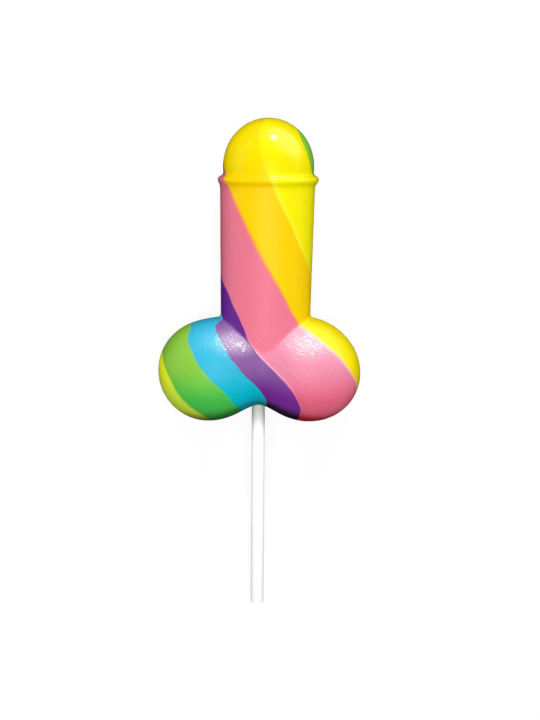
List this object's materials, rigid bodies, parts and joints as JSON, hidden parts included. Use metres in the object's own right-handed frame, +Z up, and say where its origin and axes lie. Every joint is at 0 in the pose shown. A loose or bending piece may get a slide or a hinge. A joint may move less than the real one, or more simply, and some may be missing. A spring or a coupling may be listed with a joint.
{
  "type": "penis lollipop",
  "caption": "Novelty lollipop of pulled sugar in twisted rainbow strands, shaped as a shaft with a domed head, a raised collar and rounded lobes, on a plain white paper stick.",
  "frame": {"origin": "centre of the whole box in plan, on the surface that the lollipop lies on", "axes": "+Z up, out of the shown side; +Y along the shaft towards the head, with the stick towards -Y; +X across, to the right when seen from above with the head away"},
  "size_m": [0.0606, 0.146, 0.0233],
  "materials": {
    "pulled_sugar": "glossy hard pulled sugar in six coloured strands",
    "stick_paper": "plain white rolled paper"
  },
  "bodies": {
    "root": {"candy": "pulled_sugar", "stick": "stick_paper"}
  },
  "joints": []
}
